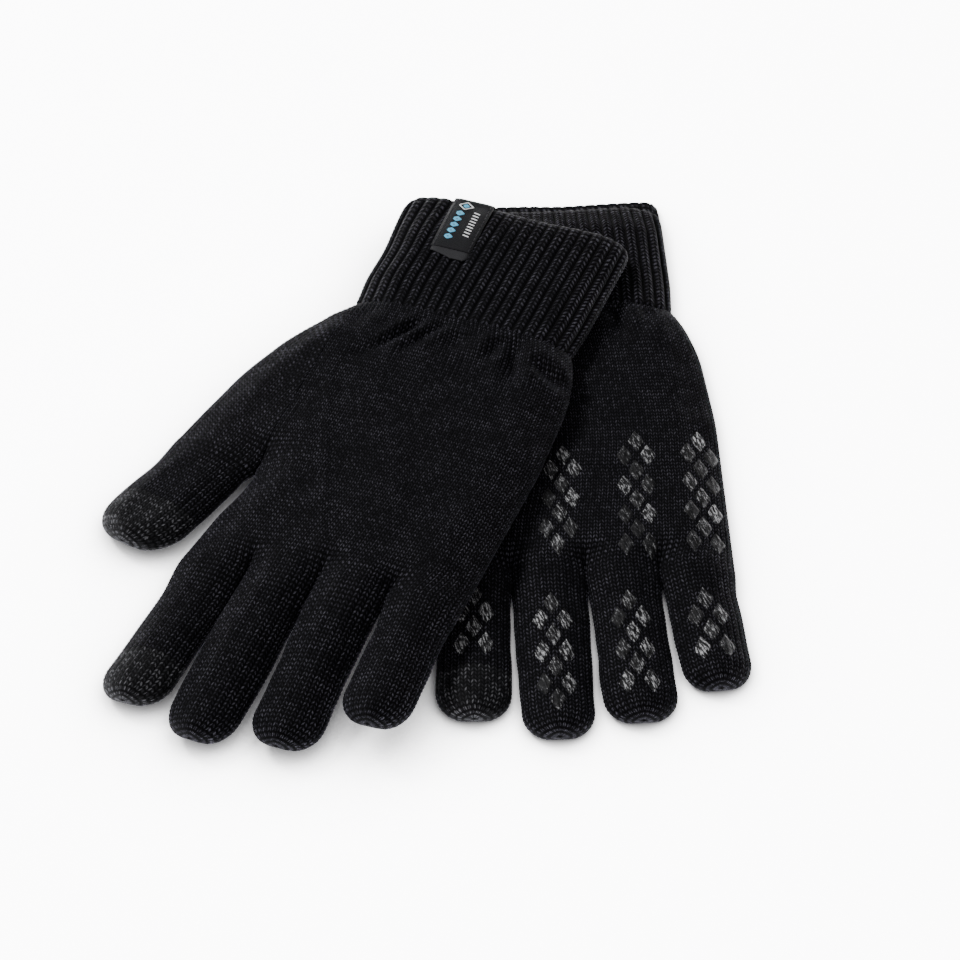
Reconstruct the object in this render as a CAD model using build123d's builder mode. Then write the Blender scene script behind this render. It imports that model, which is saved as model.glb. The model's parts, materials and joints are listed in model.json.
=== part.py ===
"""A pair of knitted touchscreen gloves lying one on the other, fingers towards -Y.

The right-hand glove lies palm up on the table. The left-hand glove lies on it, back of the
hand up and turned clockwise, with its thumb side hanging down to the table. Both gloves share
one outline. It is drawn in a glove plane, whose origin is the middle of the cuff mouth, whose
+X runs across the glove away from the thumb, and whose -Y runs towards the fingertips.
"""

import os
from math import cos, degrees, radians, sin

from build123d import *

os.makedirs("parts", exist_ok=True)

# ---- cuff -------------------------------------------------------------------------------
CUFF_WIDTH = 75.4
CUFF_LENGTH = 54.5
CUFF_HEIGHT = 9.6
CUFF_WALL = 1.9

# ---- hand -------------------------------------------------------------------------------
HAND_HEIGHT = 9.0
HAND_WALL = 1.6
CROTCH = 174.0  # from the cuff mouth to the line where the fingers part
WRIST_HALF = 37.2
HAND_LEFT = -44.2  # hand edges at the finger line
HAND_RIGHT = 44.4
THUMB_CROTCH = (-36.8, -131.0)
OUTER_BLEND = 24.0  # rounding of the wide corners of the outline

# ---- fingers and thumb ------------------------------------------------------------------
DIGIT_HEIGHT = 8.0
RUNNING_GAP = 0.35  # between a digit and the hand at its fold
FINGERS = {  # middle of the base across the glove, width, length, splay in degrees
    "index_finger": (-33.2, 21.4, 58.0, -3.0),
    "middle_finger": (-10.9, 21.6, 66.0, -1.0),
    "ring_finger": (11.3, 21.2, 61.0, 1.0),
    "little_finger": (33.2, 20.4, 49.0, 3.0),
}
THUMB_WIDTH = 30.6
THUMB_LENGTH = 47.0
THUMB_SPLAY = -15.0
TOUCH_TIP = 19.0  # length of the conductive end of a thumb or index finger
TIP_FLAT = 0.5  # the rounding of a fingertip's upper and lower edges stops this far past it
TOUCH_DIGITS = ("thumb", "index_finger")

# ---- printed grip -----------------------------------------------------------------------
GRIP_HEIGHT = 0.5
DIAMOND_WIDTH = 5.0
DIAMOND_LENGTH = 8.6
ROW_STEP = 6.5
PAIR_OFFSET = 3.6  # each diamond of a pair, from the middle of its column
PALM_GRIPS = {  # finger: across at the first row, first row's distance, across at the last row
    "index": (-26.8, 128.0, -31.6),
    "middle": (-3.3, 126.0, -8.2),
    "ring": (19.4, 121.0, 16.1),
    "little": (39.0, 120.0, 36.4),
}
GRIP_END = 170.0
FINGER_GRIP_START = 11.0
FINGER_GRIP_TAIL = 9.0

# ---- label ------------------------------------------------------------------------------
LABEL_ACROSS = -15.7
LABEL_WIDTH = 14.0
LABEL_LENGTH = 24.0
LABEL_INSIDE = 9.0
LABEL_THICKNESS = 0.4
TAB_LENGTH = 4.6
STITCH_PITCH = 2.0
STITCH_LENGTH = 1.3
STITCH_RADIUS = 0.22

# ---- how the two gloves lie -------------------------------------------------------------
RIGHT_MOUTH = (39.91, 122.98)
RIGHT_TURN = 3.0
LEFT_MOUTH = (30.61, 100.08)
LEFT_TURN = -20.5
LEFT_LIFT = 10.6  # underside of the left glove where it lies on the right one
TABLE_LIFT = 0.65  # underside of the left glove where it lies on the table
RAMP_TOP = -29.2  # X where its thumb side starts to hang down
RAMP_FOOT = -74.2
LEFT_DIGIT_LIES = {  # underside at the fold, underside at the tip, roll in degrees
    "thumb": (2.3, 2.3, 5.5),
    "index_finger": (2.0, 2.0, 6.0),
    "middle_finger": (7.6, 2.2, 0.0),
    "ring_finger": (10.6, 2.4, 0.0),
    "little_finger": (10.6, 9.6, 0.0),
}
SWING_DIGITS = ("thumb", "index_finger")  # of the right glove: they turn flat on the table
FAR = 200.0


def glove_plane(side, height):
    """The glove's own plane at a height, with +X away from the thumb."""
    mouth, turn = (LEFT_MOUTH, LEFT_TURN) if side == "left" else (RIGHT_MOUTH, RIGHT_TURN)
    across = (cos(radians(turn)), sin(radians(turn)), 0)
    return Plane(origin=(*mouth, height), x_dir=across, z_dir=(0, 0, 1))


def thumb_base():
    """Middle of the thumb's base line, whose inner end is the thumb crotch."""
    angle = radians(THUMB_SPLAY)
    half = THUMB_WIDTH / 2 + 0.4
    return THUMB_CROTCH[0] - half * cos(angle), THUMB_CROTCH[1] - half * sin(angle)


def digit_data(digit):
    """Base middle in the glove plane, width, length and splay of a finger or thumb."""
    if digit == "thumb":
        return thumb_base(), THUMB_WIDTH, THUMB_LENGTH, THUMB_SPLAY
    across, width, length, splay = FINGERS[digit]
    return (across, -CROTCH), width, length, splay


def swings(side, digit):
    return side == "right" and digit in SWING_DIGITS


def digit_plane(side, digit):
    """Plane at mid-height of a digit, on its joint: +X across it and -Y towards its tip."""
    base, width, length, splay = digit_data(digit)
    out = DIGIT_HEIGHT / 2 + RUNNING_GAP
    if digit != "thumb":
        out += width / 2 * sin(radians(abs(splay)))
    if swings(side, digit):
        out = 0.0
    at = (base[0] + out * sin(radians(splay)), base[1] - out * cos(radians(splay)), 0)
    under, under_tip, roll = LEFT_DIGIT_LIES[digit] if side == "left" else (0.0, 0.0, 0.0)
    level = glove_plane(side, under + DIGIT_HEIGHT / 2)
    pitch = (under - under_tip) / length
    turned = level * Location(at, (0, 0, splay))
    tilted = turned * Location((0, 0, 0), (degrees(pitch), 0, 0))
    return Plane(tilted * Location((0, 0, 0), (0, -roll, 0)))


def drape(low, high):
    """The layer between two heights above the left glove's underside, as it hangs."""
    with BuildPart() as layer:
        with BuildSketch(Plane.XZ):
            with BuildLine():
                Polyline(
                    (-FAR, TABLE_LIFT + low),
                    (RAMP_FOOT, TABLE_LIFT + low),
                    (RAMP_TOP, LEFT_LIFT + low),
                    (FAR, LEFT_LIFT + low),
                    (FAR, LEFT_LIFT + high),
                    (RAMP_TOP, LEFT_LIFT + high),
                    (RAMP_FOOT, TABLE_LIFT + high),
                    (-FAR, TABLE_LIFT + high),
                    close=True,
                )
            make_face()
        extrude(amount=FAR, both=True)
    return layer.part


def hand_outline(side, inset):
    """The hand without its digits, as a face drawn inset from its edge."""
    base = thumb_base()
    angle = radians(THUMB_SPLAY)
    half = THUMB_WIDTH / 2 + 0.4
    outer = (base[0] - half * cos(angle), base[1] - half * sin(angle))
    with BuildSketch() as outline:
        with BuildLine():
            Polyline(
                (-WRIST_HALF, -CUFF_LENGTH),
                (-50.0, -70.0),
                (-60.0, -94.0),
                outer,
                THUMB_CROTCH,
                (HAND_LEFT, -CROTCH),
                (HAND_RIGHT, -CROTCH),
                (45.6, -110.0),
                (43.5, -76.0),
                (WRIST_HALF, -CUFF_LENGTH),
                close=True,
            )
        make_face()
        wide = [v for v in outline.vertices() if -115 < v.Y < -CUFF_LENGTH - 5]
        fillet(wide, radius=OUTER_BLEND)
        if side == "right":
            for digit in SWING_DIGITS:
                middle, width, _, _ = digit_data(digit)
                with Locations(middle):
                    Circle(width / 2 + RUNNING_GAP, mode=Mode.SUBTRACT)
        if inset:
            offset(amount=-inset, kind=Kind.INTERSECTION, mode=Mode.REPLACE)
            with Locations((0, -CUFF_LENGTH)):
                Rectangle(2 * (WRIST_HALF - inset), 8 * inset)
    return outline.sketch


def hand(side):
    """Flat knitted tube of the hand: open at the wrist, closed at the digits."""
    low, high = HAND_WALL, HAND_HEIGHT - HAND_WALL
    with BuildPart() as pocket:
        with BuildSketch(glove_plane(side, 0 if side == "left" else low)):
            add(hand_outline(side, HAND_WALL))
        extrude(amount=FAR if side == "left" else high - low)
        if side == "left":
            add(drape(low, high), mode=Mode.INTERSECT)
    with BuildPart() as shell:
        with BuildSketch(glove_plane(side, 0)):
            add(hand_outline(side, 0))
        extrude(amount=FAR if side == "left" else HAND_HEIGHT)
        if side == "left":
            add(drape(0, HAND_HEIGHT), mode=Mode.INTERSECT)
        add(pocket.part, mode=Mode.SUBTRACT)
    return shell.part


def cuff(side):
    """Ribbed cuff: a flattened tube, open at both ends."""
    under = LEFT_LIFT if side == "left" else 0.0
    level = glove_plane(side, under + CUFF_HEIGHT / 2)
    mouth = Plane(origin=level.origin, x_dir=level.x_dir, z_dir=-level.y_dir)
    with BuildPart() as tube:
        with BuildSketch(mouth):
            SlotOverall(CUFF_WIDTH, CUFF_HEIGHT)
            SlotOverall(
                CUFF_WIDTH - 2 * CUFF_WALL, CUFF_HEIGHT - 2 * CUFF_WALL, mode=Mode.SUBTRACT
            )
        extrude(amount=CUFF_LENGTH)
    return tube.part


def digit_reach(side, digit):
    """From the joint to the very tip."""
    length = digit_data(digit)[2]
    return length if swings(side, digit) else length - DIGIT_HEIGHT / 2 - RUNNING_GAP


def digit_solid(side, digit):
    """Flat closed digit. Its base end is round about the joint, so that it turns in place."""
    width = digit_data(digit)[1]
    plane = digit_plane(side, digit)
    reach = digit_reach(side, digit)
    half = DIGIT_HEIGHT / 2
    side_view = Plane(origin=plane.origin, x_dir=plane.y_dir, z_dir=-plane.x_dir)
    shoulder = -(reach - width / 2)
    round_end = -(reach + TIP_FLAT - half)
    with BuildPart() as solid:
        with BuildSketch(plane.offset(-half)):
            with BuildLine():
                if swings(side, digit):
                    ThreePointArc((width / 2, 0), (0, width / 2), (-width / 2, 0))
                    Line((-width / 2, 0), (-width / 2, shoulder))
                else:
                    Polyline(
                        (width / 2, shoulder),
                        (width / 2, DIGIT_HEIGHT),
                        (-width / 2, DIGIT_HEIGHT),
                        (-width / 2, shoulder),
                    )
                ThreePointArc((-width / 2, shoulder), (0, -reach), (width / 2, shoulder))
                if swings(side, digit):
                    Line((width / 2, shoulder), (width / 2, 0))
            make_face()
        extrude(amount=DIGIT_HEIGHT)
        with BuildSketch(side_view):
            with BuildLine():
                if swings(side, digit):
                    Polyline((round_end, half), (width, half), (width, -half), (round_end, -half))
                else:
                    Line((round_end, half), (0, half))
                    ThreePointArc((0, half), (half, 0), (0, -half))
                    Line((0, -half), (round_end, -half))
                ThreePointArc((round_end, -half), (round_end - half, 0), (round_end, half))
            make_face()
        extrude(amount=width, both=True, mode=Mode.INTERSECT)
    return solid.part


def digit_piece(side, digit, keep_tip):
    """The digit up to its conductive end, or that end alone."""
    plane = digit_plane(side, digit)
    at_tip = -(digit_reach(side, digit) - TOUCH_TIP)
    cut = Plane(
        origin=plane.from_local_coords(Vector(0, at_tip, 0)), x_dir=plane.x_dir, z_dir=plane.y_dir
    )
    with BuildPart() as piece:
        add(digit_solid(side, digit))
        split(bisect_by=cut, keep=Keep.BOTTOM if keep_tip else Keep.TOP)
    return piece.part


def grip_rows(first, last):
    """Distances of the rows of diamonds and how far each one's diamonds stand off the middle."""
    count = int((last - first) / ROW_STEP) + 1
    rows = []
    for row in range(count):
        sides = (0.0,) if row % 2 == 0 else (-PAIR_OFFSET, PAIR_OFFSET)
        rows.append((first + row * ROW_STEP, sides))
    return rows


def diamond_face(places):
    """Diamonds at places in the glove plane or a digit's plane."""
    corners = (
        (-DIAMOND_WIDTH / 2, 0),
        (0, -DIAMOND_LENGTH / 2),
        (DIAMOND_WIDTH / 2, 0),
        (0, DIAMOND_LENGTH / 2),
    )
    with BuildSketch() as face:
        with Locations(*places):
            Polygon(*corners)
    return face.sketch


def palm_grip(side, finger):
    """One printed column of diamonds on the palm, in line with a finger."""
    top, first, end = PALM_GRIPS[finger]
    places = []
    for distance, sides in grip_rows(first, GRIP_END):
        middle = top + (end - top) * (distance - first) / (GRIP_END - first)
        places += [(middle + across, -distance) for across in sides]
    with BuildPart() as print_column:
        with BuildSketch(glove_plane(side, 0 if side == "left" else HAND_HEIGHT)):
            add(diamond_face(places))
        extrude(amount=FAR if side == "left" else GRIP_HEIGHT)
        if side == "left":
            add(drape(-GRIP_HEIGHT, 0), mode=Mode.INTERSECT)
    return print_column.part


def finger_grip(side, finger):
    """One printed column of diamonds on the palm side of a finger."""
    digit = finger + "_finger"
    tail = TOUCH_TIP + DIAMOND_LENGTH / 2 if digit in TOUCH_DIGITS else FINGER_GRIP_TAIL
    last = digit_reach(side, digit) - tail
    places = []
    for distance, sides in grip_rows(FINGER_GRIP_START, last):
        places += [(across, -distance) for across in sides]
    face_side = 1 if side == "right" else -1
    with BuildPart() as print_column:
        with BuildSketch(digit_plane(side, digit).offset(face_side * DIGIT_HEIGHT / 2)):
            add(diamond_face(places))
        extrude(amount=face_side * GRIP_HEIGHT)
    return print_column.part


def label_profile(near, far, thickness, base):
    """Side view of a strip on the cuff's top face between two distances from the mouth."""
    with BuildSketch() as profile:
        with Locations(((near + far) / 2, base + thickness / 2)):
            Rectangle(far - near, thickness)
    return profile.sketch


def label_view():
    """Plane through the label's middle: +X from the mouth to the fingers, +Y up."""
    top = glove_plane("left", LEFT_LIFT + CUFF_HEIGHT)
    middle = top.from_local_coords(Vector(LABEL_ACROSS, 0, 0))
    return Plane(origin=middle, x_dir=-top.y_dir, z_dir=-top.x_dir)


def label():
    """Woven label folded over the cuff's mouth, with its short end inside the cuff."""
    with BuildPart() as strip:
        with BuildSketch(label_view()):
            add(label_profile(-LABEL_THICKNESS, LABEL_LENGTH, LABEL_THICKNESS, 0))
            add(
                label_profile(
                    -LABEL_THICKNESS,
                    0,
                    CUFF_WALL + 2 * LABEL_THICKNESS,
                    -CUFF_WALL - LABEL_THICKNESS,
                )
            )
            add(
                label_profile(
                    -LABEL_THICKNESS, LABEL_INSIDE, LABEL_THICKNESS, -CUFF_WALL - LABEL_THICKNESS
                )
            )
        extrude(amount=LABEL_WIDTH / 2, both=True)
    return strip.part


def label_tab():
    """Lighter turned-under end of the label."""
    with BuildPart() as strip:
        with BuildSketch(label_view()):
            add(label_profile(LABEL_LENGTH, LABEL_LENGTH + TAB_LENGTH, LABEL_THICKNESS, 0))
        extrude(amount=LABEL_WIDTH / 2, both=True)
    return strip.part


def label_stitches():
    """Sewing thread across the tab and up both edges of the label."""
    face = glove_plane("left", LEFT_LIFT + CUFF_HEIGHT + LABEL_THICKNESS + STITCH_RADIUS)
    edge = LABEL_WIDTH / 2 - 0.7
    seam = LABEL_LENGTH + TAB_LENGTH - 1.2
    spots = []
    for column in range(int(2 * edge / STITCH_PITCH)):
        spots.append((LABEL_ACROSS - edge + (column + 0.5) * STITCH_PITCH, -seam, 0))
    for row in range(int(LABEL_LENGTH / STITCH_PITCH)):
        for sign in (-1, 1):
            spots.append((LABEL_ACROSS + sign * edge, -(row + 0.75) * STITCH_PITCH, 90))
    with BuildPart() as thread:
        for across, along, turn in spots:
            with Locations(face * Location((across, along, 0), (0, 0, turn))):
                Box(STITCH_LENGTH, 2 * STITCH_RADIUS, 2 * STITCH_RADIUS)
    return thread.part


def write(solid, name):
    solid.label = name
    export_step(solid, f"parts/{name}.step")


for side in ("right", "left"):
    write(cuff(side), f"{side}_cuff")
    write(hand(side), f"{side}_hand")
    for digit in ("thumb", *FINGERS):
        if digit in TOUCH_DIGITS:
            write(digit_piece(side, digit, False), f"{side}_{digit}")
            write(digit_piece(side, digit, True), f"{side}_{digit}_touch_tip")
        else:
            write(digit_solid(side, digit), f"{side}_{digit}")
    for finger in PALM_GRIPS:
        write(palm_grip(side, finger), f"{side}_palm_grip_{finger}")
        write(finger_grip(side, finger), f"{side}_{finger}_finger_grip")
write(label(), "left_label")
write(label_tab(), "left_label_tab")
write(label_stitches(), "left_label_stitches")
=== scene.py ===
"""Looks of the pair of knitted touchscreen gloves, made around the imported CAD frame.

Every knitted piece is a flat tube. Its surface is a ring of columns (four to a wale, the
knit's upright line of stitches) by rows (three to a course, its crosswise line), so that
each stitch is real relief. Lengths here are millimetres until a mesh is made.
"""

import bpy
import json
import math
import numpy as np
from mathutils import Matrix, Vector, noise
from mathutils.bvhtree import BVHTree


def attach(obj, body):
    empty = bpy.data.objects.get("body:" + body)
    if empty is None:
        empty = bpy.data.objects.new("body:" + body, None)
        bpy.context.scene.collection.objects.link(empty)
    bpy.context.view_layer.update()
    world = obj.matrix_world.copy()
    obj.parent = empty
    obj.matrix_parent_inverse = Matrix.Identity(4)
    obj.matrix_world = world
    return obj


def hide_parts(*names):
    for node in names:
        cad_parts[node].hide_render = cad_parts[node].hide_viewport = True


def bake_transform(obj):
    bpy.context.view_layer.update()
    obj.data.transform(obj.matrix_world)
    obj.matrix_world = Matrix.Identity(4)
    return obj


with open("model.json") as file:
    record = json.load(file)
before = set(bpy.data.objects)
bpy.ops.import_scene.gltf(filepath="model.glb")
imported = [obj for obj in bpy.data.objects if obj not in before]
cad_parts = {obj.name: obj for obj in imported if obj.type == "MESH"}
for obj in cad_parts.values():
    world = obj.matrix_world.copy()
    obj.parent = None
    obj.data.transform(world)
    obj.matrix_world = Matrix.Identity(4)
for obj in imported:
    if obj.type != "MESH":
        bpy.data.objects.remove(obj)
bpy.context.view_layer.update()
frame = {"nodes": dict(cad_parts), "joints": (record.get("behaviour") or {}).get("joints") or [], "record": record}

MM = 0.001
FLOOR_GAP = 0.05  # no point of a piece lies lower over the table
SIDES = ("right", "left")

# ---- knit ----
PER_WALE = 4  # mesh columns to a wale
PER_COURSE = 3  # mesh rows to a course
COURSE = 1.55  # a row's share of the length
HAND_WALES = 52  # across one face of the palm
THUMB_WALES = 18
FINGER_WALES = 13
LEG_HEIGHT = 0.30  # of a stitch's two legs over the groove between wales
STITCH_HEIGHT = 0.30  # of a stitch over the gap to the next one
LEG_ROUND = 0.7
SPLIT_DEPTH, SPLIT_WIDTH = 0.35, 0.12  # of the line between a stitch's legs, as shares
CROWDED, ROOMY = 0.1, 0.35  # column spacings at which the relief is flat, and at its full height
SLANT = 0.62  # how far a leg runs down from the middle of the stitch, in courses

RIBS = 21  # across one face of the cuff
RIB_COURSE = 1.78
RIB_HEIGHT = 0.35  # of a rib over the sunk wale beside it
RIB_STOPS = (0.0, 0.055, 0.11, 0.3, 0.43, 0.5, 0.57, 0.7, 0.89, 0.945)  # mesh columns in a rib
RIB_EDGE = 0.11  # share of a rib's spacing, each side, where it falls to the sunk wale

# ---- glove outline, as in the CAD: across the glove, and distance from the cuff mouth ----
CUFF_LENGTH = 54.5
CUFF_HALF = 37.3
CUFF_BODY = 8.0  # cuff thickness without the relief of the ribs
CUFF_WALL = 1.9  # thickness of one layer of the cuff
CUFF_TAPER = 12.0  # over this width a cuff's face slopes down to its side fold
MOUTH_REACH = {"right": (-2.0, 5.0), "left": (3.2, 3.6)}  # of the upper and lower layer's rim
MOUTH_THIN = {"right": 2.6, "left": 1.2}  # how much flatter the mouth is than the cuff
MOUTH_FLARE = {"right": 0.0, "left": 2.4}  # how far the rim's thumb side leans outwards
HAND_BODY = 7.9
HAND_TAPER = 14.0
DIGIT_BODY = 7.0
DIGIT_TAPER = 9.0
FOLD_SHARE = 0.52  # thickness at the side folds, as a share of the middle's
CROTCH = 174.0  # of the fingers
THUMB_CROTCH = (-36.8, 131.0)
THUMB_OUTER = (-67.2, 122.9)
THUMB_PINCH = 2.0  # past the crotch the thumb's inner edge draws back from the palm
PALM_PINCH = 1.5  # and the palm's edge draws back from the thumb
PINCH_END = 140.0  # from here on the palm's edge comes out again
HAND_LEFT = -44.2
FINGER_EDGES = (-44.2, -22.1, 0.2, 22.3, 44.0)
FINGERS = ("index_finger", "middle_finger", "ring_finger", "little_finger")
DIGIT_NAMES = ("thumb", *FINGERS)
TOUCH_DIGITS = ("thumb", "index_finger")
TOUCH_TIP = 19.0  # length of the conductive knit
TIP_CAP = 1.7  # the last stretch of a digit, where it closes
TAKE_OVER = 14.0  # over this length a digit passes from the hand's lie to its own
BRANCH = 15.0  # and over this length the hand's thickness pinches in towards a crotch

# ---- how the left glove hangs, as in the CAD ----
LEFT_LIFT = 10.6  # where it lies on the other glove
TABLE_LIFT = 0.65  # where it has come down to the table
RAMP_TOP = -29.2  # it slopes down between these two, along x
RAMP_FOOT = -74.2
RAMP_BEND = 0.25  # share of the slope that is rounded at each end
RAMP_ROUND = 0.1  # and by how much of its height
DROOP = 0.8  # of a digit's drop: it comes down early and lies flat at its tip

SEAT = {"right": 0.5, "left": 0.55}  # of each hand over what it lies on, for the relief below
CUFF_SINK = 0.5  # the cuff lies this much under the middle of its CAD solid
WRIST = 16.0  # the knit passes from the hand's height to the cuff's over this length
WRIST_END = 12.0  # which ends this far past the cuff


def smooth(x):
    """Soft step from 0 to 1."""
    x = np.clip(x, 0.0, 1.0)
    return x * x * (3 - 2 * x)


def bell(x, width):
    return np.exp(-((x / width) ** 2))


def unit(vector):
    return vector / np.linalg.norm(vector)


def distances(points):
    """How far along a polyline each of its points is."""
    steps = np.linalg.norm(np.diff(points, axis=0), axis=1)
    return np.concatenate([[0], np.cumsum(steps)])


def closed(values):
    """A ring's columns with the first one again at the end."""
    return np.concatenate([values, values[:, :1]], 1)


def lumps(points, size, seed):
    """Slow uneven swelling of cloth, about -1 to 1, at points in millimetres."""
    shift = Vector((seed * 7.3, seed * 3.1, seed * 5.7))
    values = [noise.noise(Vector(p) / size + shift) for p in points.reshape(-1, 3)]
    return np.array(values).reshape(points.shape[:-1])


def coarse_lumps(points, size, seed, step=4):
    """The same for a dense grid, worked out on every few rows and columns."""
    rows = np.arange(0, points.shape[0] + step, step).clip(max=points.shape[0] - 1)
    columns = np.arange(0, points.shape[1] + step, step).clip(max=points.shape[1] - 1)
    rows, columns = np.unique(rows), np.unique(columns)
    few = lumps(points[np.ix_(rows, columns)], size, seed)
    wide = np.array([np.interp(np.arange(points.shape[1]), columns, line) for line in few])
    return np.array([np.interp(np.arange(points.shape[0]), rows, line) for line in wide.T]).T


# ---- frames of the gloves and their digits, from the CAD nodes ----
def node_points(*nodes):
    """All the vertices of some CAD nodes, in millimetres."""
    arrays = []
    for node in nodes:
        vertices = frame["nodes"][node].data.vertices
        co = np.empty(len(vertices) * 3)
        vertices.foreach_get("co", co)
        arrays.append(co.reshape(-1, 3) / MM)
    return np.concatenate(arrays)


class Glove:
    """Places points given across the glove, along it from the cuff mouth, and up."""

    def __init__(self, side):
        self.side = side
        points = node_points(f"{side}_cuff")
        middle = (points.min(0) + points.max(0)) / 2
        flat = (points - middle)[:, :2]
        longest = np.linalg.eigh(flat.T @ flat)[1][:, 1]
        self.across = longest * np.sign(longest[0])
        self.along = np.array([self.across[1], -self.across[0]])
        self.mouth = middle[:2] - self.along * CUFF_LENGTH / 2
        self.cuff_middle = middle[2]

    def plan(self, t, s):
        """Where a point t across and s along the glove is, seen from above."""
        xy = self.mouth + np.multiply.outer(t, self.across) + np.multiply.outer(s, self.along)
        return xy[..., 0], xy[..., 1]

    def middle(self, x, s):
        """Height of the middle of the fabric."""
        if self.side == "right":
            flat = np.zeros_like(x)
        else:
            share = (x - RAMP_FOOT) / (RAMP_TOP - RAMP_FOOT)
            bend = bell(share - 1, RAMP_BEND) - bell(share, RAMP_BEND)
            hang = np.clip(share, 0, 1) - RAMP_ROUND * bend
            flat = TABLE_LIFT + (LEFT_LIFT - TABLE_LIFT) * hang
        flat = flat + HAND_BODY / 2 + SEAT[self.side]
        cuff_share = smooth((CUFF_LENGTH + WRIST_END - s) / WRIST)
        return flat + (self.cuff_middle - CUFF_SINK - flat) * cuff_share

    def place(self, local):
        x, y = self.plan(local[..., 0], local[..., 1])
        return np.stack([x, y, self.middle(x, local[..., 1]) + local[..., 2]], -1)


class Digit:
    """A finger's or thumb's own frame, from its joint and its CAD nodes."""

    def __init__(self, side, name):
        self.body = f"{side}_{name}"
        joint = next(j for j in frame["joints"] if j["child"] == self.body)
        nodes = [n for n in frame["record"]["behaviour"]["bodies"][self.body] if "grip" not in n]
        points = node_points(*nodes)
        self.origin = np.array(joint["pos_m"]) / MM
        axis = np.array(joint["axis"], float)
        towards = points.mean(0) - self.origin
        swings = abs(axis[2]) > 0.9
        if swings:
            towards[2] = 0
            self.forward = unit(towards)
            self.across = np.array([-self.forward[1], self.forward[0], 0])
        else:
            self.across = -axis
            towards -= self.across * (towards @ self.across)
            self.forward = unit(towards)
        self.up = np.cross(self.across, -self.forward)
        local = points - self.origin
        self.reach = (local @ self.forward).max()
        side_way = local @ self.across
        self.width = side_way.max() - side_way.min()

    def place(self, local):
        """Points in the digit's frame, with the droop of a finger that hangs to the table."""
        share = np.clip(local[..., 1] / self.reach, 0, 1)
        drop = -self.forward[2] * self.reach
        droop = DROOP * drop * (share - smooth(share))
        placed = self.origin
        for k, way in enumerate((self.across, self.forward, self.up)):
            placed = placed + np.multiply.outer(local[..., k], way)
        return placed + np.multiply.outer(droop, [0, 0, 1])


GLOVES = {side: Glove(side) for side in SIDES}
DIGITS = {side: {name: Digit(side, name) for name in DIGIT_NAMES} for side in SIDES}


# ---- rows of the flat tubes ----
class Section:
    """One crosswise row of a flat tube between its two side folds.

    The row runs along a line in the plan. Its faces are flat in the middle and thinner
    towards the folds, and the lower face stays level, as cloth on a table does.
    """

    def __init__(self, line, thickness, taper):
        self.line = np.array(line, float)
        self.stops = distances(self.line)
        self.width = self.stops[-1]
        self.half = thickness / 2
        self.radius = min(self.half, 0.49 * self.width)
        self.taper = min(taper, 0.5 * self.width)
        self.quarter = math.pi / 2 * self.radius
        self.total = self.width - 2 * self.radius + 2 * self.quarter

    def even(self, count):
        """Columns at even spacing from fold to fold."""
        return self.points(np.linspace(0, self.total, count + 1))

    def length_at(self, across):
        """Distance over the surface, from the first fold, of a point that far across."""
        if across < self.radius:
            return self.radius * math.acos(1 - across / self.radius)
        return across - self.radius + self.quarter

    def points(self, lengths):
        """Columns at distances over the surface: across, along, top, underside, lift."""
        lengths = np.clip(lengths, 0, self.total)
        from_end = self.total - lengths
        near, far = np.minimum(lengths, self.quarter), np.minimum(from_end, self.quarter)
        flat = np.clip(lengths - self.quarter, 0, self.width - 2 * self.radius)
        end_turn = self.quarter - far
        across = (
            self.radius * (1 - np.cos(near / self.radius))
            + flat
            + self.radius * np.sin(end_turn / self.radius)
        )
        lift = np.sin(near / self.radius) * np.sin(far / self.radius)
        fold = np.minimum(across, self.width - across) / self.taper
        share = FOLD_SHARE + (1 - FOLD_SHARE) * smooth(0.12 + 0.88 * fold)
        plan = [np.interp(across, self.stops, self.line[:, k]) for k in (0, 1)]
        height = lift * self.radius * share
        sink = self.half * (1 - share)
        return np.stack([*plan, height - sink, -height - sink, lift], -1)


def close_ring(rows):
    """Rows of (across, along, top, underside, lift) as one ring of points and its lift."""
    rows = np.array(rows)
    under = rows[:, -2:0:-1]
    ring = np.concatenate([rows[..., [0, 1, 2]], under[..., [0, 1, 3]]], 1)
    return ring, np.concatenate([rows[..., 4], -under[..., 4]], 1)


def mirror_ring(values):
    """The same for numbers that both faces share, such as the wale."""
    return np.concatenate([values, values[..., -2:0:-1]], -1)


def soft_line(q, at, line, spread=5.0):
    """A polyline's point at q, its corners rounded by averaging over a short stretch."""
    reach = min(spread, q - at[0], at[-1] - q)
    around = q + reach * np.linspace(-1, 1, 5)
    return np.array([np.interp(around, at, line[:, k]).mean() for k in (0, 1)])


def left_edge(q):
    """The hand's thumb-side fold, q running as the distance along the palm."""
    line = np.array([(-36.0, 54.5), (-40.5, 60.5), (-50.5, 73.0), (-59.8, 93.0), THUMB_OUTER])
    at = np.array([54.5, 61.0, 74.5, 95.0, 131.0])
    return soft_line(q, at, line)


def right_edge(q):
    """The hand's other side fold."""
    line = np.array([(36.6, 54.5), (39.6, 60.0), (43.4, 76.0), (45.4, 108.0), (44.4, 174.0)])
    return soft_line(q, line[:, 1], line)


def seam_point(q):
    """Where the thumb's gusset meets the palm's first wale."""
    ends = [CUFF_LENGTH, THUMB_CROTCH[1]]
    return np.array([np.interp(q, ends, [-35.0, THUMB_CROTCH[0]]), q])


def palm_left(q):
    """The palm's side fold past the thumb."""
    ends = [THUMB_CROTCH[1], CROTCH]
    drawn_in = PALM_PINCH * smooth((q - ends[0]) / 6.0) * (1 - smooth((q - PINCH_END) / 16.0))
    return np.array([np.interp(q, ends, [THUMB_CROTCH[0], HAND_LEFT]) + drawn_in, q])


# ---- relief of the knit ----
def leg_relief(wale):
    """Height across a wale of plain knit: two legs, with grooves beside the wale."""
    part = wale % 1.0
    groove = np.abs(np.sin(np.pi * part)) ** LEG_ROUND
    return groove * (1 - SPLIT_DEPTH * bell(part - 0.5, SPLIT_WIDTH))


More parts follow.
